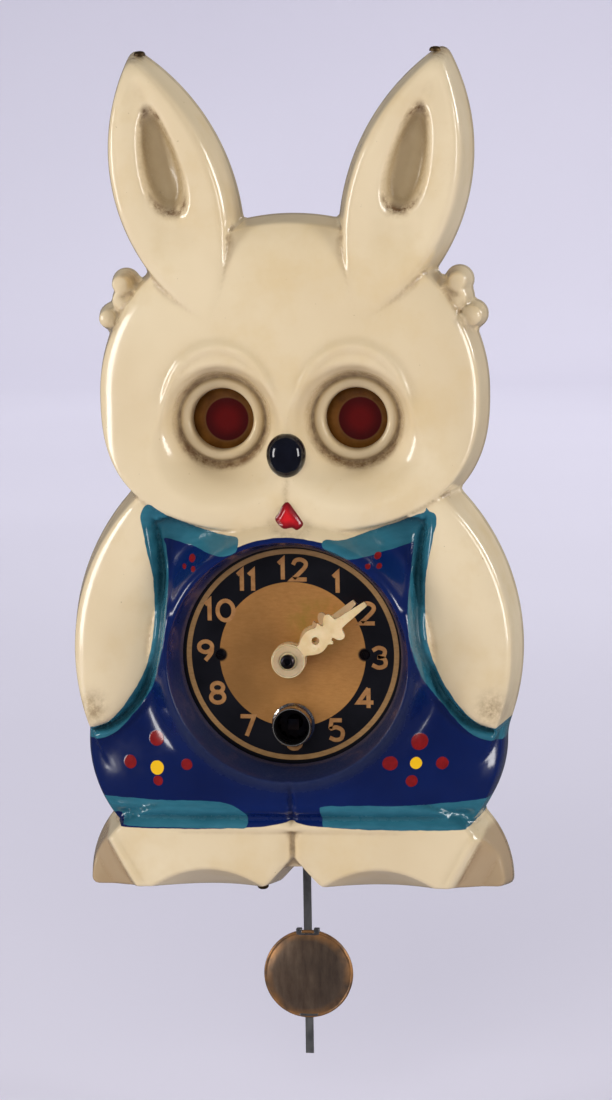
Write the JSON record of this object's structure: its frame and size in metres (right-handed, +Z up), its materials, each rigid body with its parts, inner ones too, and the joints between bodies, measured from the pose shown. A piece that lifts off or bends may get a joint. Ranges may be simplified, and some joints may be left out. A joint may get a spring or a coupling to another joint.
{
  "type": "pendulum wall clock",
  "caption": "Rabbit-shaped wall clock with a moulded case, round dial and ornate hands, moving eyes, a key-wound movement and a short pendulum.",
  "frame": {"origin": "on the wall plane, at the back of the cover's box, behind the centre of the dial", "axes": "+X to the viewer's right, +Y back into the wall, +Z up"},
  "size_m": [0.1096, 0.045, 0.2489],
  "materials": {
    "case": "gloss",
    "cover": "satin",
    "screws": "worn",
    "dial": "lacquered",
    "ferrule": "polished",
    "hands": "satin",
    "bush": "satin",
    "brass": "satin",
    "steel": "satin",
    "spring": "blued",
    "eyes": "gloss",
    "rod": "worn",
    "bob": "tarnished",
    "clip": "satin"
  },
  "bodies": {
    "case": {"front_shell": "case", "back_cover": "cover", "ear_screw_left": "screws", "ear_screw_right": "screws", "base_screw": "screws", "dial_plate": "dial", "key_ferrule": "ferrule", "dial_screw_left": "screws", "dial_screw_right": "screws", "dial_post_left": "brass", "dial_post_right": "brass", "minute_wheel_stud": "steel", "front_plate": "brass", "rear_plate": "brass", "click_screw": "screws", "click_spring": "steel", "pillar_1": "brass", "pillar_2": "brass", "pillar_3": "brass", "pillar_4": "brass", "pillar_screw_1": "screws", "pillar_screw_2": "screws", "pillar_screw_3": "screws", "pillar_screw_4": "screws", "movement_screw_1": "screws", "movement_screw_2": "screws", "movement_screw_3": "screws", "movement_screw_4": "screws"},
    "minute": {"cannon_pinion": "steel", "minute_hand": "hands", "hand_bush": "bush"},
    "centre": {"centre_arbor": "steel", "centre_wheel": "brass"},
    "hour": {"hour_wheel": "brass", "hour_hand": "hands"},
    "motion_wheel": {"minute_wheel": "brass"},
    "barrel_body": {"barrel": "brass", "mainspring": "spring"},
    "third": {"third_arbor": "steel", "third_wheel": "brass"},
    "fourth": {"fourth_arbor": "steel", "fourth_wheel": "brass"},
    "escape": {"escape_arbor": "steel", "escape_wheel": "brass"},
    "winder": {"winding_arbor": "steel", "ratchet_wheel": "steel"},
    "click_body": {"click": "steel"},
    "pendulum": {"verge_arbor": "steel", "pallet_anchor": "steel", "pendulum_hook": "steel", "eye_yoke": "brass", "left_eye": "eyes", "right_eye": "eyes", "pendulum_rod": "rod"},
    "bob_body": {"bob": "bob", "bob_clip": "clip"}
  },
  "joints": [
    {"name": "minute_turn", "type": "hinge", "parent": "case", "child": "minute", "pos_m": [0, -0.02, 0], "axis": [0, 1, 0], "continuous": true},
    {"name": "hour_turn", "type": "hinge", "parent": "case", "child": "hour", "pos_m": [0, -0.02, 0], "axis": [0, 1, 0], "continuous": true},
    {"name": "motion_turn", "type": "hinge", "parent": "case", "child": "motion_wheel", "pos_m": [-0.006, -0.02, 0], "axis": [0, 1, 0], "continuous": true},
    {"name": "fourth_turn", "type": "hinge", "parent": "case", "child": "fourth", "pos_m": [0.0076, -0.02, 0.017], "axis": [0, 1, 0], "continuous": true},
    {"name": "third_turn", "type": "hinge", "parent": "case", "child": "third", "pos_m": [0.01127, -0.02, 0.00761], "axis": [0, 1, 0], "continuous": true},
    {"name": "centre_turn", "type": "hinge", "parent": "case", "child": "centre", "pos_m": [0, -0.02, 0], "axis": [0, 1, 0], "continuous": true},
    {"name": "barrel_turn", "type": "hinge", "parent": "case", "child": "barrel_body", "pos_m": [0, -0.02, -0.0168], "axis": [0, 1, 0], "continuous": true},
    {"name": "escape_turn", "type": "hinge", "parent": "case", "child": "escape", "pos_m": [0, -0.02, 0.02], "axis": [0, 1, 0], "continuous": true},
    {"name": "winding_turn", "type": "hinge", "parent": "case", "child": "winder", "pos_m": [0, -0.02, -0.0168], "axis": [0, 1, 0], "continuous": true},
    {"name": "click_lift", "type": "hinge", "parent": "case", "child": "click_body", "pos_m": [0.0056, -0.02, -0.0086], "axis": [0, 1, 0], "range_deg": [-9, 0], "stiffness_Nm_per_rad": 0.002, "springref_deg": 5.73},
    {"name": "pendulum_swing", "type": "hinge", "parent": "case", "child": "pendulum", "pos_m": [0, -0.02, 0.0285], "axis": [0, 1, 0], "range_deg": [-6, 6]},
    {"name": "bob_slide", "type": "slide", "parent": "pendulum", "child": "bob_body", "axis": [0, 0, 1], "range_m": [-0.008, 0.008]}
  ],
  "couplings": [
    {"joint": "hour_turn", "follows": "minute_turn", "ratio": 0.083333},
    {"joint": "motion_turn", "follows": "minute_turn", "ratio": -0.33333},
    {"joint": "third_turn", "follows": "fourth_turn", "ratio": -0.16667},
    {"joint": "centre_turn", "follows": "fourth_turn", "ratio": 0.022222},
    {"joint": "barrel_turn", "follows": "fourth_turn", "ratio": -0.0037037},
    {"joint": "escape_turn", "follows": "fourth_turn", "ratio": -5}
  ]
}
